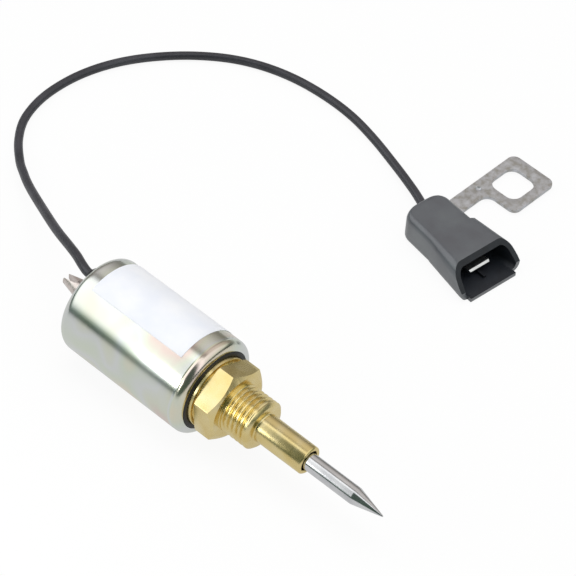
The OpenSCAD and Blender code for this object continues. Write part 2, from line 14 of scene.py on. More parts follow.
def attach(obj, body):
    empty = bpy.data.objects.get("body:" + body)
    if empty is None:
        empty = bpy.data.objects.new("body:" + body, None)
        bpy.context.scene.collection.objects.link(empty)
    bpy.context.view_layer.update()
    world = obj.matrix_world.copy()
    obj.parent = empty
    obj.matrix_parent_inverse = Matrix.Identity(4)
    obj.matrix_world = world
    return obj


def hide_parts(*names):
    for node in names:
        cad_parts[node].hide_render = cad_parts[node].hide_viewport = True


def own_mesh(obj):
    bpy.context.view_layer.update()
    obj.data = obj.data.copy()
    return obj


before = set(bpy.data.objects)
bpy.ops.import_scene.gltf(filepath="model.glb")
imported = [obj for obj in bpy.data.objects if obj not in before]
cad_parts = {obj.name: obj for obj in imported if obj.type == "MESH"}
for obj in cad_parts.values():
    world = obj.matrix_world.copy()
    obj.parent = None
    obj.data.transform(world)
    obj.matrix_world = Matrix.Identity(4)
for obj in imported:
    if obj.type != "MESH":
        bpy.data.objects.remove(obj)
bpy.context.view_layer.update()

MM = 0.001
SEAT_X = 5.7
AXIS_Z = 12.0

# Camera. A long lens from above the needle's side, at the angle the photograph was taken from,
# turned a few degrees about its own axis as the photograph is.
camera_place = Vector((234.22, -261.86, 428.07)) * MM
camera_azimuth = math.radians(39.63)
camera_elevation = math.radians(47.33)
camera_roll = math.radians(4.25)
camera_back = Vector((math.sin(camera_azimuth) * math.cos(camera_elevation),
                      -math.cos(camera_azimuth) * math.cos(camera_elevation),
                      math.sin(camera_elevation)))
level_right = Vector((math.cos(camera_azimuth), math.sin(camera_azimuth), 0))
level_up = camera_back.cross(level_right)
camera_right = level_right * math.cos(camera_roll) + level_up * math.sin(camera_roll)
camera_up = camera_back.cross(camera_right)
camera_turn = Matrix((camera_right, camera_up, camera_back)).transposed()
bpy.ops.object.camera_add(location=camera_place, rotation=camera_turn.to_euler())
camera = bpy.context.object
camera.name = "camera"
camera.data.sensor_width = 36
camera.data.lens = 156.25
camera.data.clip_start = 0.05
camera.data.clip_end = 20
bpy.context.scene.camera = camera


# Can. Deep-drawn mild steel with bright zinc plate under a thin clear passivation, which gives
# the white metal faint yellow, green and pink bands. Its open end is rolled over the seal ring.
def hex_colour(code):
    """An sRGB hex colour as linear red, green, blue and alpha."""
    parts = [int(code[i:i + 2], 16) / 255 for i in (1, 3, 5)]
    return [c / 12.92 if c <= 0.04045 else ((c + 0.055) / 1.055) ** 2.4 for c in parts] + [1]


def add_node(tree, kind, inputs=None, **settings):
    """A node with its settings, and with each input set to a value or linked to another output."""
    made = tree.nodes.new("ShaderNode" + kind)
    for name, value in settings.items():
        setattr(made, name, value)
    for socket, value in (inputs or {}).items():
        if isinstance(value, bpy.types.NodeSocket):
            tree.links.new(value, made.inputs[socket])
        else:
            made.inputs[socket].default_value = value
    return made


def start_material(name, colour, roughness, metallic=0.0, **sockets):
    """A material with one Principled shader, with its tree, shader and object coordinates."""
    material = bpy.data.materials.new(name)
    material.use_nodes = True
    tree = material.node_tree
    shader = tree.nodes["Principled BSDF"]
    shader.inputs["Base Color"].default_value = hex_colour(colour)
    shader.inputs["Roughness"].default_value = roughness
    shader.inputs["Metallic"].default_value = metallic
    for socket, value in sockets.items():
        shader.inputs[socket.replace("_", " ")].default_value = value
    place = add_node(tree, "TexCoord").outputs["Object"]
    return material, tree, shader, place


def colour_ramp(tree, factor, stops):
    """The colour that a factor has on a ramp of (place, hex colour) stops."""
    ramp = add_node(tree, "ValToRGB", {"Fac": factor})
    line = ramp.color_ramp
    while len(line.elements) < len(stops):
        line.elements.new(0.5)
    for element, (at, code) in zip(line.elements, stops):
        element.position = at
        element.color = hex_colour(code)
    return ramp.outputs["Color"]


def tint(tree, shader, factor, stops):
    """Colours the shader by a factor through a ramp of (place, hex colour) stops."""
    tree.links.new(colour_ramp(tree, factor, stops), shader.inputs["Base Color"])


def vary(tree, shader, socket, factor, low, high):
    """Spreads a factor of 0 to 1 over low to high, for a socket of the shader."""
    spread = add_node(tree, "MapRange", {"Value": factor, "To Min": low, "To Max": high})
    tree.links.new(spread.outputs["Result"], shader.inputs[socket])


def raise_surface(tree, shader, height, depth_mm, strength=1.0, under=None):
    """Bumps the shader's surface by a height of 0 to 1, over a depth in millimetres."""
    inputs = {"Height": height, "Distance": depth_mm * MM, "Strength": strength}
    if under is not None:
        inputs["Normal"] = under.outputs["Normal"]
    bump = add_node(tree, "Bump", inputs)
    tree.links.new(bump.outputs["Normal"], shader.inputs["Normal"])
    return bump


def noise(tree, place, size_mm, detail=3.0, stretch=(1, 1, 1)):
    """Noise with spots about size_mm across, longer along an axis whose stretch is small."""
    mapped = add_node(tree, "Mapping", {"Vector": place, "Scale": stretch})
    pattern = add_node(tree, "TexNoise", {"Vector": mapped.outputs["Vector"],
                                          "Scale": 1 / (size_mm * MM), "Detail": detail})
    return pattern.outputs["Fac"]


def arc(middle, radius, start, end, steps=8):
    """Points of a round corner in an outline of (along the axis, out from it)."""
    turns = [math.radians(start + (end - start) * i / steps) for i in range(steps + 1)]
    return [(middle[0] + radius * math.cos(t), middle[1] + radius * math.sin(t)) for t in turns]


def deselect():
    """Nothing is selected and no object is in edit mode."""
    if bpy.context.object and bpy.context.object.mode != "OBJECT":
        bpy.ops.object.mode_set(mode="OBJECT")
    bpy.ops.object.select_all(action="DESELECT")


def pick(piece):
    """Makes the piece the only one selected, and the active one."""
    deselect()
    piece.select_set(True)
    bpy.context.view_layer.objects.active = piece


def apply_place(piece):
    """Puts the object's place, turn and size into its mesh."""
    pick(piece)
    bpy.ops.object.transform_apply(location=True, rotation=True, scale=True)


def mend(piece, merge_mm=0.001):
    """Joins doubled points and turns every face outwards."""
    deselect()
    bpy.context.view_layer.objects.active = piece
    bpy.ops.object.mode_set(mode="EDIT")
    bpy.ops.mesh.select_all(action="SELECT")
    bpy.ops.mesh.remove_doubles(threshold=merge_mm * MM)
    bpy.ops.mesh.normals_make_consistent(inside=False)
    bpy.ops.object.mode_set(mode="OBJECT")


def turn_on_lathe(name, outline, up=0.0, sides=128):
    """A closed outline of (along, out) points, spun about the solenoid's axis or one above it."""
    deselect()
    bpy.ops.mesh.primitive_circle_add(vertices=len(outline), radius=0.01)
    piece = bpy.context.object
    piece.name = name
    for vertex, (along, out) in zip(piece.data.vertices, outline):
        vertex.co = Vector((SEAT_X + along, 0, AXIS_Z + up + out)) * MM
    bpy.ops.object.mode_set(mode="EDIT")
    bpy.ops.mesh.select_all(action="SELECT")
    bpy.ops.mesh.spin(steps=sides, angle=2 * math.pi, center=(0, 0, (AXIS_Z + up) * MM),
                      axis=(1, 0, 0))
    bpy.ops.object.mode_set(mode="OBJECT")
    mend(piece)
    return piece


def modify(piece, kind, **settings):
    """Adds a modifier with its settings and applies it."""
    pick(piece)
    modifier = piece.modifiers.new(kind.lower(), kind)
    for name, value in settings.items():
        setattr(modifier, name, value)
    bpy.ops.object.modifier_apply(modifier=modifier.name)


def round_edges(piece, width_mm, segments, from_degrees):
    """Rounds every edge that turns by more than an angle."""
    modify(piece, "BEVEL", width=width_mm * MM, segments=segments, limit_method="ANGLE",
           angle_limit=math.radians(from_degrees))


def combine(piece, other, operation):
    """Cuts another mesh from the piece, or joins it on, and takes the other one away."""
    modify(piece, "BOOLEAN", object=other, operation=operation, solver="EXACT")
    bpy.data.objects.remove(other)


def drill(piece, radius, start, end, up=0.0, side=0.0):
    """A round hole along the solenoid, beside its axis."""
    deselect()
    middle = Vector((SEAT_X + (start + end) / 2, side, AXIS_Z + up)) * MM
    bpy.ops.mesh.primitive_cylinder_add(vertices=48, radius=radius * MM,
                                        depth=abs(end - start) * MM, location=middle,
                                        rotation=(0, math.pi / 2, 0))
    drill_bit = bpy.context.object
    apply_place(drill_bit)
    combine(piece, drill_bit, "DIFFERENCE")


def finish_piece(piece, material, nodes, body="solenoid", angle=32):
    """Smooths and colours a piece, and gives it its body and the solids it stands for."""
    pick(piece)
    bpy.ops.object.shade_smooth_by_angle(angle=math.radians(angle))
    piece.data.materials.clear()
    piece.data.materials.append(material)
    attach(piece, body)
    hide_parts(*nodes)


CAN_R = 12.0
CAN_END = -44.0
CAN_WALL = 0.9
END_ROUND = 2.5
LIP_X = -6.8
LIP_ROUND = 1.9
LIP_R = 9.9
STUB_R = 2.15
LEAD_UP = 7.4
GROMMET_HOLE_R = 1.75
PLAY = 0.05
end_corner = (CAN_END + END_ROUND, CAN_R - END_ROUND)
LIP_START = LIP_X - LIP_ROUND
lip_corner = (LIP_START, CAN_R - LIP_ROUND)
can = turn_on_lathe("can", [(CAN_END, STUB_R + PLAY)]
                    + arc(end_corner, END_ROUND, 180, 90, 10)
                    + [(LIP_START - 0.55, CAN_R), (LIP_START - 0.4, CAN_R - 0.03),
                       (LIP_START - 0.25, CAN_R - 0.08), (LIP_START - 0.1, CAN_R - 0.05)]
                    + arc(lip_corner, LIP_ROUND, 88, 0, 14)
                    + [(LIP_X, LIP_R + 0.1), (LIP_X - 0.1, LIP_R), (LIP_X - CAN_WALL, LIP_R)]
                    + arc(lip_corner, LIP_ROUND - CAN_WALL, 0, 90, 6)
                    + arc(end_corner, END_ROUND - CAN_WALL, 90, 180, 6)
                    + [(CAN_END + CAN_WALL, STUB_R + PLAY)], sides=160)
drill(can, GROMMET_HOLE_R, CAN_END - 1, CAN_END + CAN_WALL + 1, up=LEAD_UP)

# Zinc is a bright bluish white metal. The passivation tints it in soft bands some millimetres
# wide, and the drawing die leaves very fine lines along the can. Between label and lip the
# bands are pushed pinker, a painted reflection.
zinc, tree, shader, place = start_material("bright_zinc_plate", "#e9e9e2", 0.2, metallic=1.0)
bands = noise(tree, place, 14, 1.5, (1, 0.8, 0.8))
along_can = add_node(tree, "SeparateXYZ", {"Vector": place}).outputs["X"]
# A painted reflection: a pink patch between label and lip, added to the passivation bands.
near_label = add_node(tree, "MapRange", {
    "Value": along_can, "From Min": (SEAT_X + LIP_START - 9) * MM,
    "From Max": (SEAT_X + LIP_START - 4) * MM, "To Max": 0.22})
before_lip = add_node(tree, "MapRange", {
    "Value": along_can, "From Min": (SEAT_X + LIP_START) * MM,
    "From Max": (SEAT_X + LIP_START - 1) * MM})
pink_reflection_share = add_node(tree, "Math", {0: near_label.outputs["Result"], 1: before_lip.outputs["Result"]},
                  operation="MULTIPLY").outputs[0]
bands = add_node(tree, "Math", {0: bands, 1: pink_reflection_share}, operation="ADD").outputs[0]
tint(tree, shader, bands, [(0.28, "#e4d3cd"), (0.37, "#eae2cc"), (0.45, "#dee5d7"),
                           (0.53, "#e2e5e4"), (0.61, "#e1e4d5"), (0.70, "#e4d3ca")])
vary(tree, shader, "Roughness", noise(tree, place, 3, 4.0, (0.2, 1, 1)), 0.15, 0.27)
lines = noise(tree, place, 0.35, 2.0, (0.04, 1, 1))
raise_surface(tree, shader, lines, 0.01, 0.25,
              raise_surface(tree, shader, noise(tree, place, 12, 1.0), 0.05, 0.35))
finish_piece(can, zinc, ["can_shell"])


# Label. Plain white coated paper, glued round the upper side of the can. It is 27.5 mm long and
# about 20 mm round the can, and 0.1 mm thick.
LABEL_FRONT = -12.1
LABEL_LEN = 27.5
LABEL_T = 0.1
GLUE_T = 0.01
GRID = 0.01
LABEL_NEAR = math.radians(26.25)
LABEL_FAR = math.radians(71.25)
deselect()
bpy.ops.mesh.primitive_grid_add(x_subdivisions=6, y_subdivisions=52, size=GRID)
label = bpy.context.object
label.name = "can_label_paper"
for vertex in label.data.vertices:
    along = LABEL_FRONT - LABEL_LEN / 2 + vertex.co.x / GRID * LABEL_LEN
    turn = (LABEL_FAR - LABEL_NEAR) / 2 + vertex.co.y / GRID * (LABEL_FAR + LABEL_NEAR)
    radius = CAN_R + GLUE_T + LABEL_T
    vertex.co = Vector((SEAT_X + along, radius * math.sin(turn),
                        AXIS_Z + radius * math.cos(turn))) * MM
mend(label)
modify(label, "SOLIDIFY", thickness=(LABEL_T - GLUE_T) * MM, offset=-1)
round_edges(label, 0.03, 2, 60)

# Coated paper: bluish white and satin, with a faint unevenness from the glue under it.
paper, tree, shader, place = start_material("coated_label_paper", "#f1f3fa", 0.38, IOR=1.5)
tint(tree, shader, noise(tree, place, 6.0, 3.0), [(0.3, "#eceff8"), (0.7, "#f5f6fb")])
vary(tree, shader, "Roughness", noise(tree, place, 3.0, 3.0), 0.32, 0.46)
raise_surface(tree, shader, noise(tree, place, 5.0, 2.0), 0.03, 0.4)
finish_piece(label, paper, ["can_label"])


# Core. One turned bar of soft iron: the pole inside the coil, a shoulder, and the tapered stub
# behind the can with a slot sawn across it, so that it ends in two prongs.
def saw_slot(piece, width, start, end, height):
    """A slot across the stub, open at its rear and round at its bottom."""
    deselect()
    middle = Vector((SEAT_X + (start + end) / 2, 0, AXIS_Z)) * MM
    bpy.ops.mesh.primitive_cube_add(size=1, location=middle,
                                    scale=((end - start) * MM, width * MM, height * MM))
    saw = bpy.context.object
    apply_place(saw)
    bpy.ops.mesh.primitive_cylinder_add(vertices=32, radius=width / 2 * MM, depth=height * MM,
                                        location=Vector((SEAT_X + end, 0, AXIS_Z)) * MM)
    bottom = bpy.context.object
    apply_place(bottom)
    combine(saw, bottom, "UNION")
    combine(piece, saw, "DIFFERENCE")


WAVE_RADIANS = 20


def rings(tree, place, radian_mm, **settings):
    """Rings round the solenoid's axis, 2 pi times radian_mm apart.

    The wave pattern turns by WAVE_RADIANS in its unit of length.
    """
    wave = add_node(tree, "TexWave", {"Vector": place,
                                      "Scale": 1 / (WAVE_RADIANS * radian_mm * MM),
                                      **settings}, wave_type="BANDS", bands_direction="X")
    return wave.outputs["Fac"]


STUB_LEN = 9.4
STUB_TAPER = 4.0
STUB_TIP_R = 1.25
SLOT_W = 1.6
SLOT_LEN = 4.0
SLOT_CUT_H = 8.0
GUIDE_R = 4.5
BORE_R = 4.0
CORE_SHOULDER = CAN_END + CAN_WALL + 2.5
CORE_FACE = CORE_SHOULDER + 11.6
stub_end = CAN_END - STUB_LEN
core = turn_on_lathe("core", [
    (stub_end, 0), (stub_end, STUB_TIP_R - 0.2), (stub_end + 0.2, STUB_TIP_R),
    (stub_end + STUB_TAPER - 0.3, STUB_R - 0.08), (stub_end + STUB_TAPER + 0.3, STUB_R),
    (CAN_END + CAN_WALL, STUB_R), (CAN_END + CAN_WALL, GUIDE_R - PLAY),
    (CORE_SHOULDER, GUIDE_R - PLAY), (CORE_SHOULDER, BORE_R - PLAY),
    (CORE_FACE, BORE_R - PLAY), (CORE_FACE, 0)], sides=96)
saw_slot(core, SLOT_W, stub_end - 1, stub_end + SLOT_LEN - SLOT_W / 2, SLOT_CUT_H)
round_edges(core, 0.12, 2, 40)

# Soft iron with thin dull zinc: grey with a warm cast. Its turning rings are drawn about 1.3 mm
# apart, coarser than real, so that they show.
soft_iron, tree, shader, place = start_material("plated_soft_iron", "#e0d6d0", 0.36, metallic=1.0)
tint(tree, shader, noise(tree, place, 1.6, 4.0),
     [(0.3, "#cbc0bb"), (0.5, "#e1d7d1"), (0.7, "#f0e8e3")])
vary(tree, shader, "Roughness", noise(tree, place, 0.8, 3.0), 0.28, 0.45)
raise_surface(tree, shader, rings(tree, place, 0.2, Distortion=1.5), 0.01, 0.4)
finish_piece(core, soft_iron, ["fixed_core"])


# Grommet. Moulded black rubber with a collar, pushed into the closed end of the can, where it
# holds the lead and keeps water out.
LEAD_R = 1.1
grommet_in_r = LEAD_R + PLAY
grommet_r = grommet_in_r + 0.55
grommet_end = CAN_END - 1.4
grommet = turn_on_lathe("grommet", [
    (grommet_end, grommet_in_r), (grommet_end, grommet_in_r + 0.2),
    (grommet_end + 0.1, grommet_in_r + 0.3), (CAN_END - 0.85, grommet_r),
    (CAN_END - 0.8, grommet_r + 0.3), (CAN_END - 0.7, grommet_r + 0.4),
    (CAN_END - 0.1, grommet_r + 0.4), (CAN_END, grommet_r + 0.3), (CAN_END, grommet_r),
    (CAN_END + CAN_WALL, grommet_r), (CAN_END + CAN_WALL, grommet_in_r)], up=LEAD_UP, sides=48)

# Moulded nitrile rubber is black with a soft sheen and a very fine grain.
rubber, tree, shader, place = start_material("moulded_black_rubber", "#1c1c1d", 0.52, IOR=1.52)
tint(tree, shader, noise(tree, place, 2.0, 4.0), [(0.3, "#161617"), (0.7, "#262628")])
vary(tree, shader, "Roughness", noise(tree, place, 1.0, 3.0), 0.42, 0.6)
raise_surface(tree, shader, noise(tree, place, 0.15, 3.0), 0.02, 0.5)
finish_piece(grommet, rubber, ["lead_grommet"])


# Seal ring. A moulded rubber ring that the can's rolled lip squeezes against the fitting's
# flange; it bulges out of the lip as a black band.
COLLAR_R = 8.8
FLANGE_FRONT = -8.9
SEAL_REAR_R = 11.05
SEAL_EDGE = 0.25
seal_face = LIP_X + 0.2
seal_ring = turn_on_lathe("seal_ring", [(FLANGE_FRONT, COLLAR_R + PLAY),
                                        (FLANGE_FRONT, SEAL_REAR_R)]
                          + arc(lip_corner, LIP_ROUND - CAN_WALL - PLAY, 90, 0, 5)
                          + [(LIP_X - CAN_WALL - PLAY, LIP_R - PLAY)]
                          + arc((seal_face - SEAL_EDGE, LIP_R - 0.3), SEAL_EDGE, 90, 0, 5)
                          + arc((seal_face - SEAL_EDGE, COLLAR_R + 0.3), SEAL_EDGE, 0, -90, 5),
                          sides=160)
finish_piece(seal_ring, rubber, ["seal_ring"])


# Brass fitting. Turned in one piece from hexagon bar: flange, collar, hexagon, M12 thread and the
# tube that the needle comes out of. The thread is cut right-handed with a pitch of 1.25 mm.
HEX_AF = 16.4
HEX_LEN = 5.3
HEX_TURN = 4.0
THREAD_R = 6.0
THREAD_LEN = 7.9
PITCH = 1.25
THREAD_DEPTH = 0.6
ROW_STEP = 0.07
NOSE_R = 3.4
NOSE_END = 21.2
NOSE_BORE_R = 2.5
FLANGE_REAR = -10.4
FLANGE_R = 10.9
thread_rows = [(0.02 + i * ROW_STEP, THREAD_R) for i in range(int((THREAD_LEN - 0.75) / ROW_STEP))]
fitting = turn_on_lathe("brass_fitting", [
    (FLANGE_REAR, 5.95), (FLANGE_REAR, FLANGE_R), (FLANGE_FRONT, FLANGE_R),
    (FLANGE_FRONT, COLLAR_R), (-6.0, COLLAR_R), (-5.85, COLLAR_R - 0.05),
    (-5.8, COLLAR_R - 0.2), (-5.8, 7.95), (-5.75, 7.9),
    (-4.0, 7.9), (-4.0, 6.6), (-0.3, 6.6), (-0.3, THREAD_R)]
    + thread_rows
    + [(THREAD_LEN - 0.62, THREAD_R), (THREAD_LEN - 0.05, THREAD_R - 0.65),
       (THREAD_LEN, THREAD_R - 0.75), (THREAD_LEN, NOSE_R + 0.5)]
    + arc((THREAD_LEN + 0.4, NOSE_R + 0.45), 0.4, 180, 270, 5)
    + [(NOSE_END - 0.42, NOSE_R), (NOSE_END - 0.3, NOSE_R - 0.06), (NOSE_END - 0.05, NOSE_R - 0.3),
       (NOSE_END, NOSE_R - 0.42), (NOSE_END, NOSE_BORE_R + 0.22),
       (NOSE_END - 0.06, NOSE_BORE_R + 0.14), (NOSE_END - 0.22, NOSE_BORE_R), (-6.0, NOSE_BORE_R),
       (-6.0, 4.55), (-9.0, 4.55), (-9.0, 5.95)], sides=144)

HEX_EDGE = 0.6
hex_corner_r = HEX_AF / 2 / math.cos(math.pi / 6)
deselect()
bpy.ops.mesh.primitive_cylinder_add(vertices=6, radius=hex_corner_r * MM, depth=HEX_LEN * MM,
                                    rotation=(0, math.pi / 2, 0))
hexagon = bpy.context.object
apply_place(hexagon)
hexagon.rotation_euler = (math.radians(30 + HEX_TURN), 0, 0)
hexagon.location = Vector((SEAT_X - HEX_LEN / 2, 0, AXIS_Z)) * MM
apply_place(hexagon)
round_edges(hexagon, 0.12, 2, 40)
slope = math.tan(math.pi / 6)
chamfer = turn_on_lathe("chamfer", [
    (-HEX_LEN - 0.1, 0), (-HEX_LEN - 0.1, hex_corner_r - HEX_EDGE - 0.17),
    (-HEX_LEN + (HEX_EDGE + 0.3) * slope, hex_corner_r + 0.3),
    (-(hex_corner_r + 0.3 - HEX_AF / 2 + HEX_EDGE) * slope, hex_corner_r + 0.3),
    (0, HEX_AF / 2 - HEX_EDGE), (0.1, HEX_AF / 2 - HEX_EDGE - 0.17), (0.1, 0)], sides=144)
combine(hexagon, chamfer, "INTERSECT")
bore = turn_on_lathe("bore", [(-HEX_LEN - 1, 0), (-HEX_LEN - 1, THREAD_R), (1, THREAD_R), (1, 0)],
                     sides=144)
combine(hexagon, bore, "DIFFERENCE")
combine(fitting, hexagon, "UNION")

# The lathe's rows over the thread are pressed in to one helix of rounded grooves, which fade out
# at both ends.
for vertex in fitting.data.vertices:
    along = vertex.co.x / MM - SEAT_X
    out = Vector((vertex.co.y, vertex.co.z - AXIS_Z * MM))
    if 0.01 < along < THREAD_LEN - 0.03 and out.length > (THREAD_R - 0.7) * MM:
        turn = math.atan2(out.y, out.x) / (2 * math.pi)
        phase = (along / PITCH - turn) % 1
        groove = min(1, max(0, 1.15 - abs(phase - 0.5) * 3.1)) ** 0.9
        fade = min(1, along / 0.9, max(0, THREAD_LEN - 0.75 - along) / 0.8)
        new_r = THREAD_R - THREAD_DEPTH * groove * fade
        new_r = min(new_r, out.length / MM)
        out = out.normalized() * new_r * MM
        vertex.co.y = out.x
        vertex.co.z = AXIS_Z * MM + out.y

# Free-cutting brass, bright dipped: a strong yellow, deeper in places. Its turning rings are
# drawn about 1.1 mm apart, coarser than real.
brass, tree, shader, place = start_material("turned_brass", "#eedda8", 0.26, metallic=1.0)
tint(tree, shader, noise(tree, place, 5.0, 2.0),
     [(0.3, "#e6cf8c"), (0.5, "#ecd99d"), (0.7, "#f1e2b2")])
vary(tree, shader, "Roughness", noise(tree, place, 2.5, 3.0), 0.22, 0.32)
raise_surface(tree, shader, rings(tree, place, 0.18, Distortion=2.0, Detail=2.0), 0.004, 0.25)
finish_piece(fitting, brass, ["valve_body"], angle=28)


# Needle. Ground stainless steel with a long taper, pressed into the plunger; it slides with it.
NEEDLE_R = 2.05
NEEDLE_REACH = 42.0
NEEDLE_TAPER = 7.6
NEEDLE_REAR = -14.05
needle = turn_on_lathe("needle", [
    (NEEDLE_REAR, 0), (NEEDLE_REAR, NEEDLE_R), (NEEDLE_REACH - NEEDLE_TAPER - 0.15, NEEDLE_R),
    (NEEDLE_REACH - NEEDLE_TAPER + 0.1, NEEDLE_R - 0.04), (NEEDLE_REACH - 0.1, 0.17),
    (NEEDLE_REACH, 0.1), (NEEDLE_REACH, 0)], sides=96)

# Stainless steel off a centreless grinder: bright grey, with fine rings round it.
stainless, tree, shader, place = start_material("ground_stainless", "#d8d9db", 0.16, metallic=1.0)
tint(tree, shader, noise(tree, place, 3.0, 3.0), [(0.3, "#cfd0d3"), (0.7, "#e2e3e4")])
vary(tree, shader, "Roughness", noise(tree, place, 0.6, 3.0, (3, 1, 1)), 0.12, 0.22)
raise_surface(tree, shader, noise(tree, place, 0.3, 2.0, (6, 0.3, 0.3)), 0.004, 0.3)
finish_piece(needle, stainless, ["needle"], body="plunger", angle=12)


# Connector housing. Injection-moulded black nylon: a narrow rear that holds the crimped terminal,
# a step, and a part that flares to a raked open mouth with a lip below and keying ribs inside.
CONN_X = -9.6
CONN_Y = 79.8
CONN_TURN = math.radians(-8)
CONN_H = 8.0
HALF_REAR = 6.2
HALF_MOUTH = 9.2
REAR_LEN = 11.6
STEP = 0.9
TOP_LEN = 20.1
MOUTH_LOW = 24.2
FRONT = 26.4
CONN_WALL = 1.1
BLADE_Z = 3.1
LEAD_HOLE_R = 1.2
connector_place = (Matrix.Translation(Vector((CONN_X, CONN_Y, 0)) * MM)
                   @ Matrix.Rotation(CONN_TURN, 4, "Z"))


def section(along, half, low, high, edge, foot, near=None):
    """Points round a section with round edges; near is its half width towards the can."""
    near = half if near is None else near
    corners = (arc((half - edge, high - edge), edge, 0, 90, 9)
               + arc((edge - near, high - edge), edge, 90, 180, 9)
               + arc((foot - near, low + foot), foot, 180, 270, 6)
               + arc((half - foot, low + foot), foot, 270, 360, 6))
    return [(along, across, up) for across, up in corners]


def loft(name, sections):
    """A closed skin over cross-sections of the same number of points."""
    deselect()
    bpy.ops.mesh.primitive_circle_add(vertices=len(sections[0]), radius=0.01, fill_type="NGON")
    piece = bpy.context.object
    piece.name = name
    for vertex, point in zip(piece.data.vertices, sections[0]):
        vertex.co = Vector(point) * MM
    for points in sections[1:]:
        bpy.ops.object.mode_set(mode="EDIT")
        bpy.ops.mesh.extrude_region_move(TRANSFORM_OT_translate={"value": (MM, 0, 0)})
        bpy.ops.object.mode_set(mode="OBJECT")
        moved = [vertex for vertex in piece.data.vertices if vertex.select]
        for vertex, point in zip(moved, points):
            vertex.co = Vector(point) * MM
    mend(piece)
    return piece


def block(name, low, high):
    """A block between two corners, in the connector's own directions."""
    deselect()
    middle = [(a + b) / 2 * MM for a, b in zip(low, high)]
    size = [(b - a) * MM for a, b in zip(low, high)]
    bpy.ops.mesh.primitive_cube_add(size=1, location=middle, scale=size)
    piece = bpy.context.object
    piece.name = name
    apply_place(piece)
    return piece


def cut_plane(piece, point, normal):
    """Cuts off what lies beyond a plane and closes the cut."""
    pick(piece)
    bpy.ops.object.mode_set(mode="EDIT")
    bpy.ops.mesh.select_all(action="SELECT")
    bpy.ops.mesh.bisect(plane_co=Vector(point) * MM, plane_no=normal,
                        use_fill=True, clear_outer=True)
    bpy.ops.object.mode_set(mode="OBJECT")


REAR_ROUND = 3.0
MOUTH_REAR = 9.0
RIB_HALF = 0.35
RIB_H = 0.7
CHAMBER_REAR = 2.9
CHAMBER_HALF = 3.25
CHAMBER_UP = 1.3
rear_places = [0.0, 0.12, 0.4, 0.85, 1.45, 2.2, REAR_ROUND]
round_halves = [HALF_REAR - REAR_ROUND + math.sqrt(REAR_ROUND ** 2 - (REAR_ROUND - x) ** 2)
                for x in rear_places]
housing = loft("connector_housing_shell", [
    section(x, half, 0, CONN_H - 0.35 * max(0, 1 - x) ** 2, 1.8, 1.6, half + 0.12 * x)
    for x, half in zip(rear_places, round_halves)] + [
    section(REAR_LEN - 0.7, HALF_REAR, 0, CONN_H, 1.8, 1.6, 6.95),
    section(REAR_LEN - 0.1, HALF_REAR + STEP, 0, CONN_H, 1.8, 1.6, 7.1),
    section(14.5, 7.6, 0, CONN_H, 2.1, 1.8), section(19.0, 8.35, 0, CONN_H, 2.6, 2.1),
    section(MOUTH_LOW, HALF_MOUTH, 0, CONN_H, 3.0, 2.4),
    section(MOUTH_LOW + 1, HALF_MOUTH, 0, CONN_H, 3.0, 2.4)])
cut_plane(housing, (TOP_LEN, 0, CONN_H), (CONN_H, 0, MOUTH_LOW - TOP_LEN))
roof = CONN_H - CONN_WALL
hollow = loft("hollow", [
    section(MOUTH_REAR, HALF_REAR - CONN_WALL, CONN_WALL, roof, 1.2, 0.8),
    section(REAR_LEN + 1, HALF_REAR + STEP - CONN_WALL, CONN_WALL, roof, 1.2, 0.8),
    section(FRONT + 1, HALF_MOUTH - CONN_WALL + 0.25, CONN_WALL, roof, 2.2, 1.6)])
combine(housing, hollow, "DIFFERENCE")
lip = block("lip", (MOUTH_LOW - 2, -7.1, 0), (FRONT, 7.1, CONN_WALL - 0.001))
combine(housing, lip, "UNION")
for side in (-1.2, 1.2):
    rib = block("rib", (MOUTH_REAR - 0.1, side - RIB_HALF, roof - RIB_H),
                (19.4, side + RIB_HALF, roof + 0.1))
    combine(housing, rib, "UNION")
floor_rib = block("floor_rib", (MOUTH_REAR - 0.1, -RIB_HALF, CONN_WALL - 0.1),
                  (MOUTH_LOW - 1, RIB_HALF, CONN_WALL + RIB_H))
combine(housing, floor_rib, "UNION")
chamber = block("chamber", (CHAMBER_REAR, -CHAMBER_HALF, BLADE_Z - CHAMBER_UP),
                (12, CHAMBER_HALF, BLADE_Z + CHAMBER_UP))
combine(housing, chamber, "DIFFERENCE")
lead_hole = block("lead_hole", (-1, -LEAD_HOLE_R, BLADE_Z - LEAD_HOLE_R),
                  (3.5, 3.4, BLADE_Z + LEAD_HOLE_R))
round_edges(lead_hole, 1.1, 5, 30)
combine(housing, lead_hole, "DIFFERENCE")
strap_slot = block("strap_slot", (-1, -4.2, 0.5), (5.4, 10, 1.6))
combine(housing, strap_slot, "DIFFERENCE")
round_edges(housing, 0.16, 2, 45)
SLACK = 0.12
# Faces inside the mouth, which get the darker copy of the nylon as painted shade.
inside_faces = []
for face in housing.data.polygons:
    along, across, up = [c / MM for c in face.center]
    half = (HALF_REAR - CONN_WALL + SLACK
            + (along - MOUTH_REAR) / (MOUTH_LOW - MOUTH_REAR) * (HALF_MOUTH - HALF_REAR))
    in_mouth = (CHAMBER_REAR < along < MOUTH_LOW - 0.6 and abs(across) < max(half, 3.3)
                and CONN_WALL - SLACK < up < roof + SLACK)
    on_floor = along > 12 and abs(across) < HALF_MOUTH - CONN_WALL and abs(up - CONN_WALL) < SLACK
    inside_faces.append(in_mouth or on_floor)
housing.matrix_world = connector_place
bpy.context.view_layer.update()
apply_place(housing)
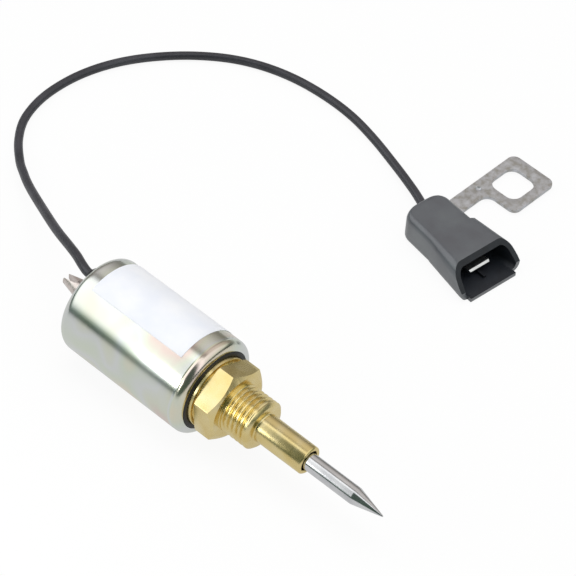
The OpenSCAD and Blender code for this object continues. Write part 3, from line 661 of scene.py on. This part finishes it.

# Black nylon 66 with the soft grain of the sparked mould. The outside is painted a lighter grey,
# painted light; the inside of the mouth has a darker copy of the same nylon, painted shade.
nylon, tree, shader, place = start_material("black_nylon_painted_light", "#464b53", 0.36, IOR=1.53,
                                            Specular_IOR_Level=1.0, Coat_Weight=0.5,
                                            Coat_Roughness=0.3)
tint(tree, shader, noise(tree, place, 7.0, 3.0),
     [(0.3, "#3e4149"), (0.5, "#464b52"), (0.7, "#50565b")])
vary(tree, shader, "Roughness", noise(tree, place, 2.0, 3.0), 0.3, 0.42)
raise_surface(tree, shader, noise(tree, place, 0.22, 3.0), 0.02, 0.45)
finish_piece(housing, nylon, ["connector_housing"], angle=35)
# The darker copy of the nylon for the inside of the mouth: painted shade.
nylon_painted_shade, tree, shader, place = start_material("black_nylon_painted_shade", "#191d24", 0.5, IOR=1.53)
tint(tree, shader, noise(tree, place, 3.0, 3.0), [(0.3, "#15181f"), (0.7, "#1d222a")])
raise_surface(tree, shader, noise(tree, place, 0.22, 3.0), 0.02, 0.45)
housing.data.materials.append(nylon_painted_shade)
for face, is_inside in zip(housing.data.polygons, inside_faces):
    face.material_index = 1 if is_inside else 0


# Blade. Stamped brass strip 0.8 mm thick, tinned, with its rear rolled into a barrel round the
# lead's strands; it stands in the middle of the mouth.
def copy_solid(name, node):
    """A copy of a CAD solid with its triangles joined into flat faces."""
    deselect()
    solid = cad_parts[node]
    bpy.ops.mesh.primitive_plane_add(size=0.01)
    piece = bpy.context.object
    piece.name = name
    piece.data = solid.data.copy()
    mend(piece, 0.002)
    bpy.ops.object.mode_set(mode="EDIT")
    bpy.ops.mesh.select_all(action="SELECT")
    bpy.ops.mesh.dissolve_limited(angle_limit=math.radians(1))
    bpy.ops.object.mode_set(mode="OBJECT")
    return piece


BLADE_END = 21.3
BLADE_HALF = 3.15
TIP_LEN = 0.55
TIP_HALF_T = 0.12
TIP_NARROWER = 0.2
blade = copy_solid("blade", "blade_terminal")
pick(blade)
bpy.ops.object.mode_set(mode="EDIT")
bpy.ops.mesh.select_all(action="SELECT")
bpy.ops.mesh.bisect(plane_co=connector_place @ (Vector((BLADE_END - TIP_LEN, 0, 0)) * MM),
                    plane_no=connector_place.to_3x3() @ Vector((1, 0, 0)))
bpy.ops.object.mode_set(mode="OBJECT")
for vertex in blade.data.vertices:
    along, across, up = connector_place.inverted() @ vertex.co / MM
    if along > BLADE_END - TIP_LEN - 0.05:
        at_tip = along > BLADE_END - 0.1
        across = math.copysign(BLADE_HALF - (TIP_NARROWER if at_tip else 0), across)
        if at_tip:
            up = BLADE_Z + math.copysign(TIP_HALF_T, up - BLADE_Z)
        vertex.co = connector_place @ (Vector((along, across, up)) * MM)
round_edges(blade, 0.08, 2, 50)

# Tin plate is a soft white metal, a little dull.
tin, tree, shader, place = start_material("tin_plate", "#e8e9e8", 0.3, metallic=1.0)
tint(tree, shader, noise(tree, place, 1.5, 3.0), [(0.3, "#dddedd"), (0.7, "#f0f1f0")])
vary(tree, shader, "Roughness", noise(tree, place, 1.5, 3.0), 0.26, 0.36)
raise_surface(tree, shader, noise(tree, place, 1.2, 2.0), 0.01, 0.2)
finish_piece(blade, tin, ["blade_terminal"], angle=20)


# Strap. Blanked from zinc plated sheet 0.9 mm thick: a head with a rounded square hole for the
# screw, and a neck whose tongue sits in the slot of the housing. A small round punch has left a
# dimple in the neck.
DIMPLE_BALL = 0.85
DIMPLE_DEPTH = 0.45
STRAP_TOP = 1.5
strap = copy_solid("strap", "mounting_strap")
deselect()
dimple_middle = Vector((-6.3, 97.9, STRAP_TOP + DIMPLE_BALL - DIMPLE_DEPTH)) * MM
bpy.ops.mesh.primitive_uv_sphere_add(segments=32, ring_count=24, radius=DIMPLE_BALL * MM,
                                     location=dimple_middle)
dimple = bpy.context.object
apply_place(dimple)
combine(strap, dimple, "DIFFERENCE")
round_edges(strap, 0.14, 3, 50)

# Zinc plated cold-rolled sheet, satin grey, with a fine mottle and small pits.
sheet_zinc, tree, shader, place = start_material("zinc_plated_sheet", "#c8cacd", 0.45, metallic=1.0)
tint(tree, shader, noise(tree, place, 1.6, 6.0),
     [(0.32, "#b0aea8"), (0.5, "#c8c9cb"), (0.68, "#d8dadf")])
vary(tree, shader, "Roughness", noise(tree, place, 1.2, 4.0), 0.38, 0.58)
raise_surface(tree, shader, noise(tree, place, 0.9, 4.0), 0.08, 0.6)
finish_piece(strap, sheet_zinc, ["mounting_strap"], angle=20)


# Lead. Stranded copper in black vinyl, 2.2 mm thick. It leaves the top of the can's closed end,
# drops to the surface and curves round to the connector. The points are part.scad's route.
lead_points = [
    (-36.9, 0, 19.4), (-40.4, 0, 19.4), (-43.1, 0.8, 19.2), (-46.6, 2.4, 18.4), (-50.4, 4, 17.2),
    (-58.7, 7.6, 14), (-68.8, 12.8, 9.6), (-79.6, 18.5, 5.2), (-85.8, 22.2, 3.1),
    (-90.3, 25.2, 1.9), (-96.2, 30.3, 1.2), (-100.6, 36.4, 1.2), (-103, 44.3, 1.2),
    (-103.2, 53, 1.2), (-101.6, 61.3, 1.2), (-98.3, 69.2, 1.2), (-93.4, 76.6, 1.2),
    (-87.4, 83.2, 1.2), (-80.3, 88.8, 1.2), (-72.4, 92.7, 1.2), (-63.5, 95, 1.2),
    (-53.8, 95.7, 1.2), (-44.6, 95, 1.2), (-35.7, 92.9, 1.2), (-27, 90, 1.3), (-20.2, 87.2, 1.9),
    (-14.4, 84.4, 2.7), (-9.35, 81.58, 3.1), (-7.03, 79.44, 3.1)]


def smooth_route(points, steps):
    """A smooth curve through the points, straight in its first and last stretch."""
    route = [Vector(p) for p in points]
    curve = []
    for i in range(len(route) - 1):
        a, b = route[max(i - 1, 0)], route[i]
        c, d = route[i + 1], route[min(i + 2, len(route) - 1)]
        for s in range(steps):
            t = s / steps
            if i in (0, len(route) - 2):
                curve.append(b + (c - b) * t)
            else:
                curve.append(0.5 * (2 * b + (c - a) * t + (2 * a - 5 * b + 4 * c - d) * t * t
                                    + (3 * b - a - 3 * c + d) * t * t * t))
    return curve + [route[-1]]


lead_route = [point * MM for point in smooth_route(lead_points, 8)]
lead_curve = bpy.data.curves.new("lead", "CURVE")
lead_curve.dimensions = "3D"
lead_curve.bevel_depth = LEAD_R * MM
lead_curve.bevel_resolution = 6
lead_curve.use_fill_caps = True
spline = lead_curve.splines.new("POLY")
spline.points.add(len(lead_route) - 1)
for knot, point in zip(spline.points, lead_route):
    knot.co = (*point, 1)
lead = bpy.data.objects.new("lead_wire", lead_curve)
bpy.context.collection.objects.link(lead)

# Plasticised vinyl is smooth and satin, with faint waves where the strands show through.
vinyl, tree, shader, place = start_material("black_vinyl", "#313138", 0.36, IOR=1.53)
tint(tree, shader, noise(tree, place, 6.0, 3.0), [(0.3, "#2b2b31"), (0.7, "#3a3a41")])
vary(tree, shader, "Roughness", noise(tree, place, 2.0, 3.0), 0.3, 0.44)
raise_surface(tree, shader, noise(tree, place, 1.2, 3.0), 0.03, 0.4)
lead_curve.materials.append(vinyl)
spline.use_smooth = True
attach(lead, "solenoid")
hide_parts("lead")


# Pieces inside the can. Their solids stay as they are and get the finish of the real material;
# only the spring is a copy, because it is pressed together as the plunger comes back.
def paint_solid(node, material):
    """Gives a CAD solid its material."""
    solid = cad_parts[node]
    if not solid.data.materials:
        solid.data.materials.append(material)
    for material_slot in solid.material_slots:
        material_slot.material = material


# Pressed fibre: a brown board with short fibres.
fibre, tree, shader, place = start_material("pressed_fibre", "#7d5436", 0.75, IOR=1.5)
tint(tree, shader, noise(tree, place, 0.8, 5.0, (1, 1, 4)), [(0.3, "#694327"), (0.7, "#8f6443")])
raise_surface(tree, shader, noise(tree, place, 0.3, 4.0), 0.04, 0.5)
paint_solid("rear_insulator", fibre)

# Natural nylon: milky and slightly see-through at its edges.
natural_nylon, tree, shader, place = start_material("natural_nylon", "#dcd5bd", 0.45, IOR=1.53,
                                                    Subsurface_Weight=0.08)
tint(tree, shader, noise(tree, place, 3.0, 3.0), [(0.3, "#d4ccb2"), (0.7, "#e3ddc8")])
raise_surface(tree, shader, noise(tree, place, 0.25, 3.0), 0.02, 0.4)
paint_solid("bobbin", natural_nylon)

# Enamelled copper wire under a clear coat. Its turns are drawn about 1.9 mm apart, coarser than
# real.
copper, tree, shader, place = start_material("enamelled_copper", "#b8693a", 0.24, metallic=1.0,
                                             Coat_Weight=0.6, Coat_Roughness=0.15)
tint(tree, shader, noise(tree, place, 1.5, 3.0), [(0.3, "#a65a2d"), (0.7, "#c87b48")])
raise_surface(tree, shader, rings(tree, place, 0.3), 0.1, 0.8)
paint_solid("coil_winding", copper)
paint_solid("earth_pin", copper)

# Polyester tape: yellow, smooth and a little glossy.
tape, tree, shader, place = start_material("polyester_tape", "#d9b645", 0.3, IOR=1.6)
tint(tree, shader, noise(tree, place, 4.0, 2.0), [(0.3, "#cfa93a"), (0.7, "#e2c257")])
raise_surface(tree, shader, noise(tree, place, 1.5, 2.0, (0.2, 1, 1)), 0.03, 0.4)
paint_solid("coil_wrap", tape)

# Drawn brass: yellow and smooth, with lines along the draw.
drawn_brass, tree, shader, place = start_material("drawn_brass", "#d3ae5a", 0.22, metallic=1.0)
tint(tree, shader, noise(tree, place, 2.0, 3.0), [(0.3, "#c7a04c"), (0.7, "#dfbd6d")])
raise_surface(tree, shader, noise(tree, place, 0.3, 2.0, (0.05, 1, 1)), 0.01, 0.4)
for node in ("guide_tube", "shim_washer", "lead_ferrule"):
    paint_solid(node, drawn_brass)

# Spring wire: drawn stainless, bright.
spring_wire, tree, shader, place = start_material("drawn_spring_wire", "#c3c4c7", 0.2, metallic=1.0)
tint(tree, shader, noise(tree, place, 0.6, 3.0), [(0.3, "#b4b5b9"), (0.7, "#d2d3d5")])
raise_surface(tree, shader, noise(tree, place, 0.15, 2.0), 0.005, 0.3)
spring = copy_solid("compression_spring", "return_spring")
finish_piece(spring, spring_wire, ["return_spring"])
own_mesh(spring)

# The plunger and the washer are of the core's soft iron, and the guide tube's ring of rubber.
paint_solid("pole_washer", soft_iron)
paint_solid("armature", soft_iron)
paint_solid("tube_seal", rubber)


# Floor. A plain white surface with no visible edge, which also shows white in the metal and
# keeps a trace of the object's shadow.
WHITE_SHARE = 0.92
GLOSS_DARKER = 0.33
deselect()
bpy.ops.mesh.primitive_plane_add(size=6, location=(0, 0, -0.02 * MM))
floor = bpy.context.object
floor.name = "floor"
apply_place(floor)
white_table = bpy.data.materials.new("white_table")
white_table.use_nodes = True
tree = white_table.node_tree
tree.nodes.clear()
light_path = add_node(tree, "LightPath").outputs
seen = add_node(tree, "Math", {0: light_path["Is Camera Ray"], 1: light_path["Is Glossy Ray"]},
                operation="MAXIMUM")
seen = add_node(tree, "Math", {0: seen.outputs[0], 1: light_path["Is Transmission Ray"]},
                operation="MAXIMUM")
share = add_node(tree, "Math", {0: seen.outputs[0], 1: WHITE_SHARE}, operation="MULTIPLY")
matt_white = add_node(tree, "BsdfDiffuse", {"Color": hex_colour("#f2f2f2")})
white_level = add_node(tree, "Math", {0: light_path["Is Glossy Ray"], 1: -GLOSS_DARKER, 2: 1.0},
                       operation="MULTIPLY_ADD")
plain_white = add_node(tree, "Emission", {"Color": (1, 1, 1, 1),
                                          "Strength": white_level.outputs[0]})
mixed = add_node(tree, "MixShader", {0: share.outputs[0], 1: matt_white.outputs[0],
                                     2: plain_white.outputs[0]})
add_node(tree, "OutputMaterial", {"Surface": mixed.outputs[0]})
floor.data.materials.append(white_table)


# Light. A bright white tent over the near side, a room with a window beyond the solenoid, and all
# of it dark just above the table, which draws the dark line along the can. A broad lamp adds soft
# light from above, and a small one beside the can brightens the brass a little.
def blend_colours(tree, share, first, second):
    """The first colour where the share is 0 and the second where it is 1."""
    return add_node(tree, "Mix", {0: share, 6: first, 7: second}, data_type="RGBA").outputs[2]


def rise(tree, value, start, end):
    """A share that goes from 0 to 1 as a value goes from start to end."""
    return add_node(tree, "MapRange", {"Value": value, "From Min": start,
                                       "From Max": end}).outputs["Result"]


TENT_STRENGTH = 1.42
world = bpy.data.worlds.new("half_tent")
bpy.context.scene.world = world
world.use_nodes = True
tree = world.node_tree
tree.nodes.clear()
direction = add_node(tree, "TexCoord").outputs["Generated"]
axes = add_node(tree, "SeparateXYZ", {"Vector": direction}).outputs
tent = colour_ramp(tree, axes["Z"], [
    (0.0, "#20322a"), (0.12, "#283c32"), (0.20, "#5f7067"), (0.29, "#c9d1cc"), (0.40, "#ffffff")])
tent = add_node(tree, "VectorMath", {0: tent, "Scale": TENT_STRENGTH}, operation="SCALE")
room = colour_ramp(tree, axes["Z"], [
    (0.0, "#74766d"), (0.2, "#8b8781"), (0.42, "#b4aeaa"), (0.68, "#dcd6d1"), (1.0, "#e2dcd8")])
window = colour_ramp(tree, axes["Z"], [
    (0.0, "#2f3a34"), (0.22, "#3c4842"), (0.34, "#e4ece6"), (0.8, "#ffffff")])
room = blend_colours(tree, rise(tree, axes["Y"], 0.36, 0.14), room, hex_colour("#5c564d"))
far_side = blend_colours(tree, rise(tree, axes["X"], 0.05, 0.3), room, window)
around = blend_colours(tree, rise(tree, axes["Y"], 0.02, 0.16), tent.outputs["Vector"], far_side)
open_side = add_node(tree, "Math", {0: rise(tree, axes["X"], -0.30, -0.12),
                                    1: rise(tree, axes["Y"], -0.10, -0.28)}, operation="MULTIPLY")
around = blend_colours(tree, open_side.outputs[0], around, hex_colour("#4b5a51"))
glow = add_node(tree, "Background", {"Color": around, "Strength": 0.97})
add_node(tree, "OutputWorld", {"Surface": glow.outputs[0]})


def soft_lamp(name, place_mm, target_mm, size_mm, watts, shows_in_gloss):
    """A square lamp of soft white light that faces a point of the object."""
    bpy.ops.object.light_add(type="AREA", location=Vector(place_mm) * MM)
    lamp = bpy.context.object
    lamp.name = name
    lamp.data.size = size_mm * MM
    lamp.data.energy = watts
    lamp.visible_glossy = shows_in_gloss
    aim = Vector(place_mm) - Vector(target_mm)
    lamp.rotation_euler = aim.to_track_quat("Z", "Y").to_euler()


soft_lamp("lamp_above", (-60, 60, 640), (-20, 40, 0), 420, 1.55, False)
soft_lamp("lamp_nose", (-32, -112, 66), (22, 0, 12), 44, 0.02, True)

bpy.context.scene.view_settings.view_transform = "Standard"
